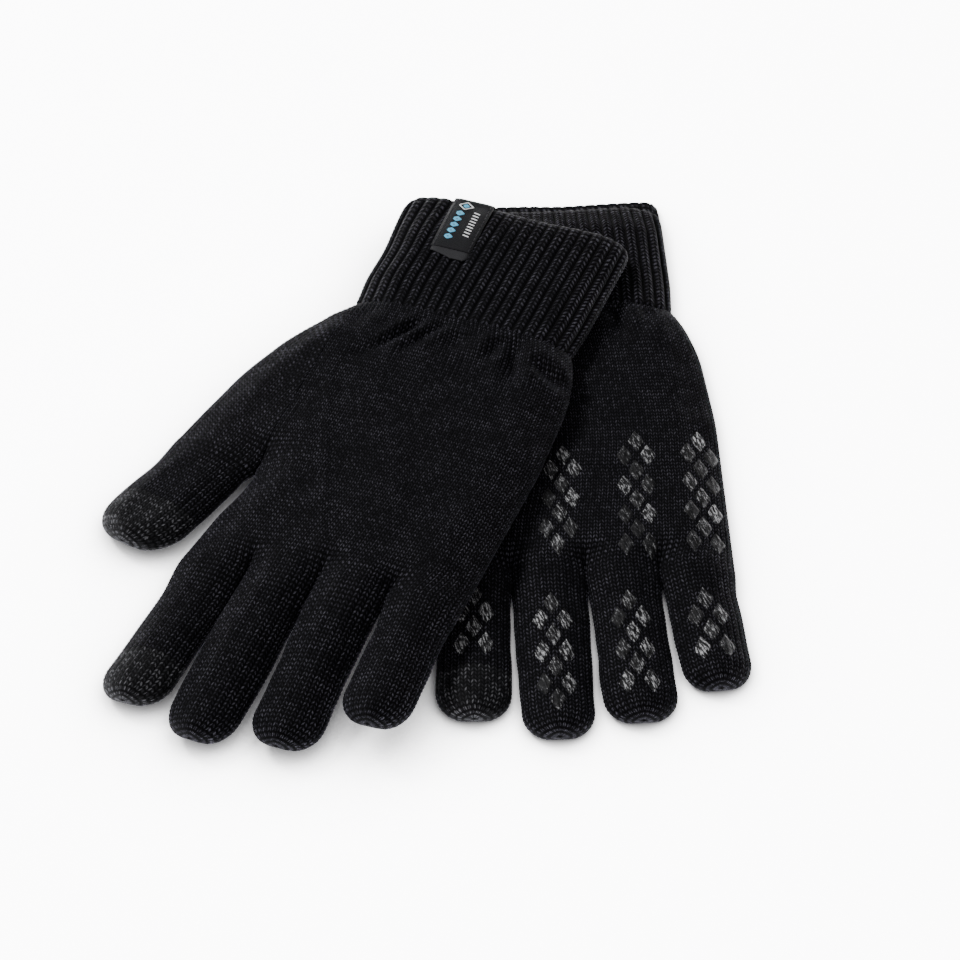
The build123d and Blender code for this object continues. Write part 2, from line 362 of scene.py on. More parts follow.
def bead(course):
    """Rise and fall of each stitch along its wale, 0 to 1."""
    return 0.5 - 0.5 * np.cos(2 * np.pi * course)


def stitch_relief(wale, course):
    """Height of plain knit at wale and course numbers."""
    return leg_relief(wale) * (LEG_HEIGHT + STITCH_HEIGHT * bead(course))


def slant(wale):
    """How far a point moves along its wale, in courses, so that stitches are chevrons."""
    return SLANT * (np.abs(wale % 1.0 - 0.5) * 2 - 0.5)


def rib_parts(rib):
    """How proud the cuff stands at a rib number, and the place across the rib's own wale."""
    part = rib % 1.0
    proud = smooth((0.5 - np.abs(part - 0.5)) / RIB_EDGE)
    own = np.clip((part - RIB_EDGE) / (1 - 2 * RIB_EDGE), 0, 1)
    return proud, np.floor(rib) + own


def room_for_relief(points):
    """1 where a ring's columns have their space, 0 where they are gathered in one point."""
    step = np.linalg.norm(np.roll(points, -1, 1) - points, axis=-1)
    nearer = np.minimum(step, np.roll(step, 1, 1))
    return smooth((nearer - CROWDED) / (ROOMY - CROWDED))


def ring_normals(points):
    """Outward directions of a ring whose rows run from the hand to its end."""
    along_ring = np.roll(points, -1, 1) - np.roll(points, 1, 1)
    normal = np.cross(np.gradient(points, axis=0), along_ring)
    size = np.linalg.norm(normal, axis=-1, keepdims=True)
    return normal / np.maximum(size, 1e-9)


# ---- meshes ----
SAME_PLACE = 1e-4  # points nearer than this become one


def linked(name, data):
    """A new object in the scene."""
    thing = bpy.data.objects.new(name, data)
    bpy.context.scene.collection.objects.link(thing)
    return thing


class Builder:
    """Collects grids of points and quads, with wale and course numbers as a UV map."""

    def __init__(self):
        self.points, self.normals, self.quads, self.uvs = [], [], [], []
        self.count = 0

    def add(self, points, normals):
        """Adds a grid's points and returns their numbers."""
        self.points.append(points.reshape(-1, 3))
        self.normals.append(normals.reshape(-1, 3))
        size = points[..., 0].size
        self.count += size
        return np.arange(self.count - size, self.count).reshape(points.shape[:-1])

    def skin(self, numbers, wale, course):
        """Quads over a grid of point numbers, with the wale and course at each."""
        uv = np.stack(np.broadcast_arrays(wale, course), -1)
        uv = np.broadcast_to(uv, (*numbers.shape, 2))
        corners = ((0, 0), (1, 0), (1, 1), (0, 1))
        rows, columns = numbers.shape[0] - 1, numbers.shape[1] - 1
        pick = [(slice(r, r + rows), slice(c, c + columns)) for r, c in corners]
        self.quads.append(np.stack([numbers[p] for p in pick], -1).reshape(-1, 4))
        self.uvs.append(np.stack([uv[p] for p in pick], -2).reshape(-1, 4, 2))

    def skin_ring(self, numbers, wale, course):
        """The same for a grid that closes on itself, given one more wale than columns."""
        self.skin(closed(numbers), wale, course)

    def fan(self, ring, centre, course):
        """Closes a ring of point numbers to one more point."""
        top = self.add(centre.reshape(1, 3), np.array([[0, 0, 1.0]]))[0]
        rows = np.stack([ring, np.full_like(ring, top)])
        self.skin_ring(rows, np.arange(len(ring) + 1) / PER_WALE, np.array([[course], [course]]))

    def welded(self):
        """Points, normals and faces with points that coincide joined."""
        points = np.concatenate(self.points)
        key = np.round(points / SAME_PLACE).astype(np.int64)
        _, first, where = np.unique(key, axis=0, return_index=True, return_inverse=True)
        quads = where.reshape(-1)[np.concatenate(self.quads)]
        return points[first], np.concatenate(self.normals)[first], quads

    def object(self, name, own_normals=True):
        """The piece, without the quads' doubled corners and the faces that have no area."""
        points, normals, quads = self.welded()
        keep = quads != np.roll(quads, 1, axis=1)
        sizes = keep.sum(1)
        good = sizes >= 3
        # a quad whose opposite corners meet has no area either
        good &= (quads[:, 0] != quads[:, 2]) & (quads[:, 1] != quads[:, 3])
        keep &= good[:, None]
        sizes = sizes[good]
        loops = quads[keep]
        uvs = np.concatenate(self.uvs)[keep]
        used, loops = np.unique(loops, return_inverse=True)
        points[:, 2] = np.maximum(points[:, 2], FLOOR_GAP)
        mesh = bpy.data.meshes.new(name)
        for items, key, values, kind in (
            (mesh.vertices, "co", points[used] * MM, np.float32),
            (mesh.loops, "vertex_index", loops.reshape(-1), np.int32),
            (mesh.polygons, "loop_start", np.cumsum(sizes) - sizes, np.int32),
        ):
            items.add(len(values))
            items.foreach_set(key, values.astype(kind).ravel())
        mesh.update(calc_edges=True)
        layer = mesh.uv_layers.new(name="knit")
        layer.data.foreach_set("uv", uvs.astype(np.float32).ravel())
        mesh.shade_smooth()
        if own_normals:
            mesh.normals_split_custom_set_from_vertices(normals[used])
        return linked(name, mesh)

    def tree(self):
        """For finding the surface by casting rays at it, in millimetres."""
        points, _, quads = self.welded()
        return BVHTree.FromPolygons(points.tolist(), quads.tolist())


# ---- creases and slow unevenness ----
# folds that gather below the cuff: (across, along) of both ends, width, depth
CREASES = {
    "left": (
        ((-12.2, 62.0), (-19.5, 75.0), 1.8, 1.8),
        ((-19.0, 74.0), (-27.0, 84.0), 3.0, 0.8),
        ((-4.5, 60.0), (-11.5, 75.0), 1.8, 1.1),
        ((15.5, 60.5), (15.0, 70.0), 2.2, 1.6),
        ((20.5, 61.0), (25.5, 77.0), 2.8, 2.3),
        ((30.5, 66.5), (43.0, 71.5), 2.8, 1.8),
        ((2.5, 62.5), (3.0, 70.0), 3.6, 1.1),
        ((-27.5, 58.0), (-34.0, 70.0), 3.0, 0.9),
    ),
    "right": (
        ((18.0, 59.0), (19.5, 72.0), 2.6, 1.6),
        ((29.0, 58.0), (27.0, 69.0), 2.4, 1.3),
        ((9.0, 58.0), (7.5, 70.0), 2.4, 1.1),
        ((-8.0, 58.0), (-9.5, 73.0), 2.6, 1.6),
        ((-24.0, 58.0), (-26.5, 71.0), 2.8, 1.2),
    ),
}


SHOULDER, SHOULDER_SHARE = 1.9, 0.3  # the low ridges beside a fold
SWELLS = ((17.0, 0.45, 0), (8.0, 0.25, 3))  # size, height, and what is added to the seed
WAIST_RISE = 0.6  # the hand is fuller just below the cuff


def crease_depth(side, ring, lift):
    """How deep the folds are at each point of a ring; they are in the upper layer only."""
    depth = np.zeros_like(lift)
    for start, end, width, deep in CREASES[side]:
        way = np.subtract(end, start)
        length = np.linalg.norm(way)
        way = way / length
        t, s = ring[..., 0] - start[0], ring[..., 1] - start[1]
        share = (t * way[0] + s * way[1]) / length
        off = (s * way[0] - t * way[1]) / width
        # a fold starts short of its first end and dies away slowly past the other
        fade = smooth((share + 0.3) / 0.4) * smooth((1.25 - share) / 0.8)
        shoulders = bell(np.abs(off) - SHOULDER, 0.9)
        depth += deep * fade * (bell(off, 1) - SHOULDER_SHARE * shoulders)
    return depth * (lift > 0)


def face_of(lift):
    """1 on the upper face, -1 on the lower one, passing through 0 at the folds."""
    return np.sign(lift) * smooth(np.abs(lift))


def settle(side, ring, lift):
    """Swelling and gathers of the glove's two faces, in the glove's own coordinates."""
    seed = 1 if side == "left" else 4
    past = ring[..., 1] - CUFF_LENGTH
    rise = WAIST_RISE * smooth((past + 2) / 9) * (1 - smooth((past - 6) / 28))
    swell = sum(high * coarse_lumps(ring, size, seed + more) for size, high, more in SWELLS)
    settled = ring.copy()
    settled[..., 2] += face_of(lift) * (swell + rise - crease_depth(side, ring, lift))
    return settled


def weave(side, ring, lift, wale, course_number, seat=0.0):
    """Lays a ring of plain knit on its glove and raises its stitches."""
    ring[..., 1] += slant(wale) * COURSE
    laid = GLOVES[side].place(settle(side, ring, lift))
    relief = stitch_relief(wale, course_number) * room_for_relief(laid) + seat
    raised = laid + ring_normals(laid) * relief[..., None]
    return raised, ring_normals(raised)


# ---- cuff ----
MOUTH_STRETCH = 16.0  # how far from the rim the cuff is still shaped by it
CORNER = 3.4  # how far the rim's corners are drawn in
CORNER_WIDTH = 5.5
FLARE_STRETCH = 30.0
MOUTH_WAVES = ((13.0, 0.5, 1.3), (4.7, 0.15, 0.0))  # length, height and start of the rim's waves
RIB_CENTRE = 0.65  # of this rise of a rib the cuff's surface is at its plain place
WAIST_START, WAIST_STRETCH = 38.0, 17.0  # a cuff narrows here towards the wrist
WAIST_IN = (1.4, 0.7)  # by this much at its two folds
MOUTH_SINK = 0.25  # share of the mouth's thinning that its middle comes down by
SCALLOP, SCALLOP_UNDER = 0.08, 0.25  # of the rim from rib to rib, and more of it below
CUFF_SWELL = (15.0, 0.4)  # size and height of its slow unevenness
CUFF_CREASE = 0.4  # share of the hand's folds that reaches up into the cuff
CUFF_DIP = 1.2  # its end sinks this deep into the hand


def cuff_section(side, s):
    """The cuff's row at a distance from its mouth: narrower at the wrist, thin at the mouth."""
    waist = smooth((s - WAIST_START) / WAIST_STRETCH)
    thin = smooth((MOUTH_STRETCH - s) / MOUTH_STRETCH)
    ends = [(-CUFF_HALF + WAIST_IN[0] * waist, s), (CUFF_HALF - WAIST_IN[1] * waist, s)]
    return Section(ends, CUFF_BODY - MOUTH_THIN[side] * thin, CUFF_TAPER), thin


def cuff_rows():
    """Rows from the wrist out to the rim and back inside: distance, inset, rib share."""
    outer = np.arange(CUFF_LENGTH + 1.6, 1.0, -RIB_COURSE / PER_COURSE)
    rows = [(s, 0.0, 1.0) for s in outer]
    for angle in np.linspace(0, math.pi, 9)[1:-1]:
        inset = CUFF_WALL / 2 * (1 - math.cos(angle))
        rows.append((1.0 - 1.1 * math.sin(angle), inset, 1 - 0.5 * angle / math.pi))
    inner = np.arange(1.6, CUFF_LENGTH - 3, RIB_COURSE / 2)
    return np.array(rows + [(s, CUFF_WALL, 0.5) for s in inner])


def cuff_ring(side, rows, stops, proud, wale):
    """The cuff's rings of points without relief, in the glove's coordinates."""
    sections = []
    for s in rows[:, 0]:
        section, thin = cuff_section(side, s)
        columns = section.points(stops / RIBS * section.total)
        columns[:, 2:4] -= thin * MOUTH_SINK * MOUTH_THIN[side]
        sections.append(columns)
    ring, lift = close_ring(sections)
    s, t = rows[:, :1], ring[..., 0]
    from_fold = np.clip(1 - (CUFF_HALF - np.abs(t)) / CORNER_WIDTH, 0, 0.98)
    corner = CORNER * (1 - np.sqrt(1 - from_fold**2))
    upper, lower = MOUTH_REACH[side]
    reach_out = upper + (lower - upper) * smooth(0.3 - 2 * lift)
    wave = sum(high * np.sin(t / size + start) for size, high, start in MOUTH_WAVES)
    scallop = (SCALLOP + SCALLOP_UNDER * (lift < 0)) * (proud - 0.5)
    ring[..., 1] += smooth((MOUTH_STRETCH - s) / 15) * (corner - reach_out + wave - scallop)
    thumb_side = smooth(-2.2 * t / CUFF_HALF - 1.2)
    ring[..., 0] -= MOUTH_FLARE[side] * smooth((FLARE_STRETCH - s) / FLARE_STRETCH) * thumb_side
    ring[..., 1] += smooth((s - 3) / 4) * slant(wale) * RIB_COURSE
    size, high = CUFF_SWELL
    swell = high * coarse_lumps(ring, size, 2 if side == "left" else 5)
    ring[..., 2] += face_of(lift) * (swell - CUFF_CREASE * crease_depth(side, ring, lift))
    return ring


def cuff_relief(rows, proud, wale, course_number):
    """How far the ribs and their stitches stand off the surface, and the inner layer inwards."""
    s, inset, share = rows.T[:, :, None]
    fading = smooth((CUFF_LENGTH - 1 - s) / 9)  # the ribs die away into plain knit
    bound = 0.15 + 0.85 * smooth((s - 0.6) / 4)  # and are drawn flat along the rim
    ribs = RIB_HEIGHT * bound * (0.35 + 0.65 * fading) * (proud - RIB_CENTRE)
    height = LEG_HEIGHT + 1.5 * STITCH_HEIGHT * bead(course_number)
    stitches = leg_relief(wale) * proud * (0.4 + 0.6 * bound) * height
    dip = CUFF_DIP * smooth((s - CUFF_LENGTH + 2.2) / 3.4)
    return (ribs + stitches) * share * np.cos(np.pi * inset / CUFF_WALL) - inset - dip


def cuff(side):
    """Builder of the rib cuff: the outer layer, the rim and the inner layer, as one tube."""
    stops = np.concatenate([rib + np.array(RIB_STOPS) for rib in range(RIBS)] + [[RIBS]])
    proud, wale = rib_parts(mirror_ring(stops)[None, :])
    rows = cuff_rows()
    laid = GLOVES[side].place(cuff_ring(side, rows, stops, proud, wale))
    # the rows run towards the mouth first, so the outward side is the reverse of the usual one
    outward = -ring_normals(laid)
    inset = rows[:, 1]
    rim = (inset > 0) & (inset < CUFF_WALL)
    outward[rim] = outward[np.argmax(rim) - 2]
    outward[inset >= CUFF_WALL] *= -1
    steps = np.abs(np.diff(rows[:, 0])) + 0.5 * np.diff(inset)
    course_number = np.concatenate([[0], np.cumsum(steps)])[:, None] / RIB_COURSE
    relief = cuff_relief(rows, proud, wale, course_number)
    raised = laid + outward * relief[..., None]
    builder = Builder()
    numbers = builder.add(raised[:, ::-1], -ring_normals(raised)[:, ::-1])
    # painted highlight: the rim's rows take the course of a stitch's middle, so the painted gap shade spares them
    # and the rim reads as a lighter line
    course_number[rim] = np.floor(course_number[rim]) + 0.5
    around = closed(wale)
    ends = np.concatenate([around[:, -1:], around[:, -2::-1]], 1)
    builder.skin_ring(numbers, np.roll(ends, -1, 1), course_number)
    return builder


# ---- hand ----
GUSSET = THUMB_WALES * PER_WALE
PALM = HAND_WALES * PER_WALE
HAND_OVERLAP = 2.5  # the hand's first rows run on under the cuff
HAND_SINK = 1.1  # and dip this deep there


def row_with_thumb(q, pitch):
    """One row of the hand with the thumb's gusset, columns kept at one spacing."""
    left, seam, right = left_edge(q), seam_point(q), right_edge(q)
    whole = Section([left, seam, right], HAND_BODY, HAND_TAPER)
    at_seam = whole.length_at(np.linalg.norm(seam - left))
    fan = np.arange(GUSSET) * pitch
    palm = np.linspace(at_seam, whole.total, PALM + 1)
    joined = whole.points(np.concatenate([np.minimum(fan, at_seam), palm]))
    thumb = Section([left, seam], HAND_BODY, HAND_TAPER)
    rest = Section([seam, right], HAND_BODY, HAND_TAPER)
    parted = np.concatenate([thumb.points(np.minimum(fan, thumb.total)), rest.even(PALM)])
    share = smooth((q - THUMB_CROTCH[1] + BRANCH) / BRANCH) ** 2
    return joined * (1 - share) + parted * share


def palm_row(q):
    """One row of the hand past the thumb, parting into four towards the fingers."""
    left, right = palm_left(q), right_edge(q)
    joined = Section([left, right], HAND_BODY, HAND_TAPER).even(PALM)
    edges = [left, *(np.array([t, q]) for t in FINGER_EDGES[1:-1]), right]
    sections = [Section(ends, DIGIT_BODY, DIGIT_TAPER) for ends in zip(edges, edges[1:])]
    parts = [section.even(FINGER_WALES * PER_WALE) for section in sections]
    parted = np.concatenate([*(part[:-1] for part in parts), parts[-1][-1:]])
    share = smooth((q - CROTCH + BRANCH) / BRANCH) ** 2
    return joined * (1 - share) + parted * share


def hand_rows(start, end):
    """Distances and course numbers of the rows between two places along the hand."""
    count = round((end - start) / COURSE) * PER_COURSE + 1
    return np.linspace(start, end, count), np.arange(count)[:, None] / PER_COURSE


def hand(side):
    """Builders of the hand's upper and lower faces, which meet at the side folds."""
    pitch = Section([THUMB_OUTER, THUMB_CROTCH], HAND_BODY, HAND_TAPER).total / GUSSET
    rows_a, course_a = hand_rows(CUFF_LENGTH - HAND_OVERLAP, THUMB_CROTCH[1])
    rows_b, course_b = hand_rows(THUMB_CROTCH[1], CROTCH)
    course_b = course_b + course_a[-1]
    wale_a = np.concatenate([np.arange(GUSSET), np.arange(PALM + 1)]) / PER_WALE
    wale_b = np.arange(PALM + 1) / PER_WALE

    first = np.array([row_with_thumb(max(q, CUFF_LENGTH), pitch) for q in rows_a])
    first[..., 1] += np.minimum(rows_a - CUFF_LENGTH, 0)[:, None]
    seat = -HAND_SINK * smooth((CUFF_LENGTH + 0.6 - rows_a) / 3.2)[:, None]
    wales = mirror_ring(wale_a[None, :])
    ring_a, normal_a = weave(side, *close_ring(first), wales, course_a, seat)
    second = [palm_row(q) for q in rows_b]
    wales = mirror_ring(wale_b[None, :])
    ring_b, normal_b = weave(side, *close_ring(second), wales, course_b)
    # both rings share the crotch row of the thumb
    shared = np.arange(GUSSET, GUSSET + ring_b.shape[1])
    ring_b[0], normal_b[0] = ring_a[-1, shared], normal_a[-1, shared]

    faces = {"top": Builder(), "under": Builder()}
    parts = ((ring_a, normal_a, wale_a, course_a), (ring_b, normal_b, wale_b, course_b))
    for points, normals, wale, course_number in parts:
        upper, lower = np.arange(len(wale)), np.r_[len(wale) - 1 : points.shape[1], 0]
        for face, columns, wales in (("top", upper, wale), ("under", lower, wale[::-1])):
            numbers = faces[face].add(points[:, columns], normals[:, columns])
            faces[face].skin(numbers, wales, course_number)
    return faces


# ---- fingers and thumbs ----
TIP_ROUND = 13.0  # the widest ends are rounded over this length
TIP_THIN = 6.0  # and they get thinner over this one
TIP_GAP = 0.3  # between the last row and the end of the CAD solid
SIDE_GAP = 0.2  # and beside it
WIDTH_WAVE = 0.02  # how much a digit's width comes and goes, as a share of it
NARROWING = 0.04  # and how much it loses towards the tip
DIGIT_SWELL = (9.0, 0.3)  # size and height of its slow unevenness


def digit_base(name):
    """The two ends of a digit's base row, across and along the glove, and its thickness."""
    if name == "thumb":
        return np.array(THUMB_OUTER), np.array(THUMB_CROTCH), HAND_BODY, HAND_TAPER
    number = FINGERS.index(name)
    left, right = (np.array([FINGER_EDGES[k], CROTCH]) for k in (number, number + 1))
    if name == "little_finger":
        right = right_edge(CROTCH)
    return left, right, DIGIT_BODY, DIGIT_TAPER


def digit_distances(length):
    """Even courses, then rows that crowd together where the knit closes at the tip."""
    courses = int((length - TIP_CAP) / COURSE)
    even = np.linspace(0, length - TIP_CAP, courses * PER_COURSE + 1)
    cap = length - TIP_CAP * (1 - np.sin(np.linspace(0, math.pi / 2, 10)[1:]))
    return np.concatenate([even, cap])


def rounded(left_over, stretch):
    """Share of its size that a digit has that far from its end, when rounded over a stretch."""
    close = np.clip(1 - left_over / stretch, 0, 1)
    return max((1 - close**2.2) ** 0.5, 0.03)


def digit(side, name):
    """Builders of a finger or thumb, from the hand to its tip: the plain and the touch part."""
    own, glove = DIGITS[side][name], GLOVES[side]
    left, right, base_body, base_taper = digit_base(name)
    columns = (THUMB_WALES if name == "thumb" else FINGER_WALES) * PER_WALE
    base_point = np.array([*glove.plan(*(left + right) / 2), 0.0])
    start = (base_point - own.origin) @ own.forward
    length = own.reach - start
    distance = digit_distances(length)
    half_width = own.width / 2 - SIDE_GAP
    tip_round = min(half_width * 1.1, TIP_ROUND)
    way = unit(np.array([own.forward[:2] @ glove.across, own.forward[:2] @ glove.along]))
    seed = 11 + 3 * DIGIT_NAMES.index(name) + (0 if side == "left" else 20)
    own_rows, base_rows = [], []
    for d in distance:
        left_over = length - TIP_GAP - d
        narrow, thin = rounded(left_over, tip_round), rounded(left_over, TIP_THIN)
        wave = WIDTH_WAVE * math.sin(d / 9.0 + seed)
        reach = half_width * narrow * (1 + wave - NARROWING * smooth(d / length - 0.5))
        pinch = THUMB_PINCH * narrow * smooth(d / 6.0) if name == "thumb" else 0.0
        line = [(-reach, start + d), (reach - pinch, start + d)]
        own_rows.append(Section(line, DIGIT_BODY * thin, DIGIT_TAPER).even(columns))
        line = [left + way * d, right + way * d + pinch * unit(left - right)]
        base_rows.append(Section(line, base_body, base_taper).even(columns))
    wale = mirror_ring(np.arange(columns + 1)[None, :] / PER_WALE)
    course_number = np.arange(len(distance))[:, None] / PER_COURSE
    ring, _ = close_ring(own_rows)
    ring[..., 1] += slant(wale) * COURSE * smooth((length - distance) / 5)[:, None]
    own_ring = own.place(ring)
    ring, lift = close_ring(base_rows)
    ring[..., 1] += slant(wale) * COURSE
    base_ring = glove.place(settle(side, ring, lift))
    share = smooth(distance / TAKE_OVER)[:, None, None]
    laid = base_ring * (1 - share) + own_ring * share
    size, high = DIGIT_SWELL
    uneven = high * coarse_lumps(laid, size, seed, 2) * share[..., 0]
    flatten = smooth((length - distance + 0.4) / 3.0)[:, None]
    relief = stitch_relief(wale, course_number) * room_for_relief(laid) * flatten
    raised = laid + ring_normals(laid) * (relief + uneven * flatten)[..., None]
    normals = ring_normals(raised)

    last = len(distance)
    spans = [(0, last)]
    if name in TOUCH_DIGITS:
        cut = int(np.argmin(np.abs(distance - (length - TOUCH_TIP))))
        spans = [(0, cut + 1), (cut, last)]
    parts = []
    for first, end in spans:
        builder = Builder()
        numbers = builder.add(raised[first:end], normals[first:end])
        builder.skin_ring(numbers, closed(wale), course_number[first:end])
        parts.append(builder)
    builder.fan(numbers[-1], raised[-1].mean(0), course_number[-1, 0])
    return parts


# ---- printed silicone diamonds ----
PAD_STEPS = 12  # quads along a diamond's side
PAD_RISE = 0.34
PAD_SINK = 0.35  # its border goes this deep into the knit
PAD_UNEVEN = 0.16  # of its outline
PAD_FOLLOW = 0.45  # share of the stitches under it that still shows in it
PAD_SMOOTHING = 3  # rounds of averaging that make the calm surface under it
PAD_LONG, PAD_WIDE = 1.27, 1.15  # how far the print spreads past its CAD solid
PAD_SHIFT = 7.0  # from diamond to diamond on the UV map, so that each is streaked its own way
PADS_IN_COLUMN = 13  # at most
ABOVE = 12.0  # where the rays that look for the knit start


def separate_parts(node):
    """Points of each loose part of a CAD node."""
    mesh = frame["nodes"][node].data
    points, where = np.unique(np.round(node_points(node), 3), axis=0, return_inverse=True)
    edges = np.empty(len(mesh.edges) * 2, np.int32)
    mesh.edges.foreach_get("vertices", edges)
    edges = where.reshape(-1)[edges].reshape(-1, 2)
    label = np.arange(len(points))
    while True:
        before = label.copy()
        lowest = label[edges].min(1)
        np.minimum.at(label, edges[:, 0], lowest)
        np.minimum.at(label, edges[:, 1], lowest)
        if (label == before).all():
            return [points[label == one] for one in np.unique(label)]


def pad_shape():
    """A diamond's grid of (along, across) in half-lengths, and how far each point rises."""
    steps = np.linspace(-1, 1, PAD_STEPS + 1)
    a, b = np.meshgrid(steps, steps, indexing="ij")
    along, across = (a + b) / 2, (a - b) / 2
    along = along * (1 - 0.06 * along**4)
    across = across * (1 - 0.1 * across**4)
    inside = np.minimum(1 - np.abs(a), 1 - np.abs(b))
    return along, across, smooth(inside / 0.3)


def pads(node, tree, along, down, number):
    """All the diamonds of one printed column, laid over the stitches below them."""
    builder = Builder()
    reach_along, reach_across, rise = pad_shape()
    across = np.cross(along, down)
    grid = np.linspace(0, 1, PAD_STEPS + 1)
    for number, one in enumerate(separate_parts(node), number + 1):
        centre = (one.min(0) + one.max(0)) / 2
        half_long = np.abs((one - centre) @ along).max() * PAD_LONG
        half_wide = np.abs((one - centre) @ across).max() * PAD_WIDE
        flat = centre + np.multiply.outer(reach_along * half_long, along)
        flat = flat + np.multiply.outer(reach_across * half_wide, across)
        uneven = lumps(flat, 1.6, 3)[..., None] * PAD_UNEVEN * (rise[..., None] < 0.9)
        flat = flat + uneven * (across + 0.6 * along)
        depth = np.full(rise.shape, np.nan)
        for place in np.ndindex(depth.shape):
            hit = tree.ray_cast(Vector(flat[place] - down * ABOVE), Vector(down))
            if hit[3] is not None:
                depth[place] = hit[3] - ABOVE
        depth = np.where(np.isnan(depth), np.nanmean(depth), depth)
        calm = depth
        for _ in range(PAD_SMOOTHING):
            edge = np.pad(calm, 1, mode="edge")
            calm = (edge[:-2, 1:-1] + edge[2:, 1:-1] + edge[1:-1, :-2] + edge[1:-1, 2:]) / 4
        level = calm + PAD_FOLLOW * (depth - calm)
        sink = PAD_SINK * (rise <= 0)
        height = -0.02 - sink + PAD_RISE * rise * (1 + 0.15 * math.sin(number * 2.4))
        points = flat + np.multiply.outer(level - height, down)
        numbers = builder.add(points, np.zeros_like(points))
        shift = PAD_SHIFT * number
        builder.skin(numbers[:, ::-1], grid[None, ::-1] + shift, grid[:, None] + shift)
    return builder


# ---- label ----
LABEL_ACROSS = -15.9
LABEL_LEAN = 0.062  # the label stands a little askew on the cuff
LABEL_WIDTH = 13.6
LABEL_FRONT = 23.6  # how far down the cuff's face it reaches
LABEL_INSIDE = 8.6  # and how far into the cuff
LABEL_THICKNESS = 0.34
LABEL_CLEAR = 0.28  # over the ribs
LABEL_PROBE = 5.5  # its height is taken from the ribs up to here, each side of its middle
LABEL_STEP = 0.5
TAB_LENGTH = 4.4
OVERHEAD = 60.0  # above everything


def label_middle(s):
    return LABEL_ACROSS + LABEL_LEAN * (s - 12)


class LabelPath:
    """The line the label follows: out of the cuff, over its rim and down its face."""

    def __init__(self, cuff_tree):
        rim = -MOUTH_REACH["left"][0]
        at = np.arange(rim + 1.5, LABEL_FRONT + TAB_LENGTH + 2.5, LABEL_STEP)
        front = list(zip(at, self.smoothed_heights(cuff_tree, at) + LABEL_CLEAR))
        rim_top = front[0][1]
        radius = (CUFF_WALL + 1.3) / 2
        turn = [
            (rim + 0.2 - 1.5 * math.sin(a), rim_top - radius * (1 - math.cos(a)))
            for a in np.linspace(0, math.pi, 11)
        ]
        low = rim_top - 2 * radius
        inside = [(s, low) for s in np.arange(rim + 0.8, LABEL_INSIDE + 0.1, LABEL_STEP)]
        self.path = np.array(inside[::-1] + turn[::-1] + front)
        self.stops = distances(self.path)
        self.turn_end = self.stops[len(inside) + len(turn) - 1]

    def smoothed_heights(self, cuff_tree, at):
        """How high the label lies on the ribs at each distance from the mouth."""
        heights = []
        for s in at:
            row = []
            middle = label_middle(s)
            for t in np.linspace(middle - LABEL_PROBE, middle + LABEL_PROBE, 23):
                start = Vector((*GLOVES["left"].plan(t, s), OVERHEAD))
                row.append(cuff_tree.ray_cast(start, Vector((0, 0, -1)))[0].z)
            heights.append(np.percentile(row, 80))
        kernel = np.hanning(11)
        return np.convolve(np.pad(heights, 5, mode="edge"), kernel / kernel.sum(), "valid")

    def place(self, v):
        """Distance from the mouth and height of points at distances v along the label."""
        return [np.interp(v, self.stops, self.path[:, k]) for k in (0, 1)]

    def at(self, across, v, height=0.0):
        """Points across the label at distances v along it, raised off its face."""
        s, z = self.place(v)
        ds, dz = np.subtract(self.place(v + 0.4), self.place(v - 0.4))
        size = np.maximum(np.hypot(ds, dz), 1e-6)
        s, z = s - dz / size * height, z + ds / size * height
        curl = 0.35 * smooth((np.abs(across) / (LABEL_WIDTH / 2) - 0.72) / 0.28)
        x, y = GLOVES["left"].plan(label_middle(s) + across, s)
        return np.stack([x, y, z - curl * (ds > 0)], -1)

    def v_of(self, s):
        """Distance along the label of a point on its face, s from the mouth."""
        face = self.stops >= self.turn_end
        return np.interp(s, self.path[face, 0], self.stops[face])


def strip_solid(path, left, right, v, low, high, name):
    """Closed thin strip along the label between edges given at each v."""
    across = left[:, None] + (right - left)[:, None] * np.linspace(0, 1, 13)
    far = np.broadcast_to(v[:, None], across.shape)
    ring = np.concatenate([path.at(across, far, high), path.at(across, far, low)[:, ::-1]], 1)
    builder = Builder()
    numbers = builder.add(ring, np.zeros_like(ring))
    builder.skin_ring(numbers, closed(np.concatenate([across, across[:, ::-1]], 1)), v[:, None])
    half = across.shape[1]
    for row, turn in ((0, 1), (-1, -1)):
        cap = np.stack([numbers[row, :half], numbers[row, half:][::-1]])
        builder.skin(cap[::turn], across[row], np.full((2, 1), v[row]))
    return builder.object(name, own_normals=False)


def line_mark(builder, path, across, v, width):
    """One embroidered line, raised over the label's face along a line of points."""
    way = np.stack([np.gradient(across), np.gradient(v)], -1)
    way = way / np.linalg.norm(way, axis=1, keepdims=True)
    band = np.array([-0.5, -0.32, 0.0, 0.32, 0.5]) * width
    rise = np.tile([-0.05, 0.12, 0.16, 0.12, -0.05], (len(v), 1))
    rise[[0, -1]] = -0.05
    far_across = across[:, None] + way[:, 1:] * band
    far_v = v[:, None] - way[:, :1] * band
    points = path.at(far_across, far_v, LABEL_THICKNESS + 0.02 + rise)
    numbers = builder.add(points, np.zeros_like(points))
    builder.skin(numbers, far_across, far_v)


def lozenge(across, v, half_wide, half_long):
    """The closed line of a small diamond."""
    turn = np.linspace(0, 4, 25)
    saw = np.abs((turn + 2) % 4 - 2) - 1
    swing = np.abs((turn + 1) % 4 - 2) - 1
    return across + saw * half_wide, v + swing * half_long


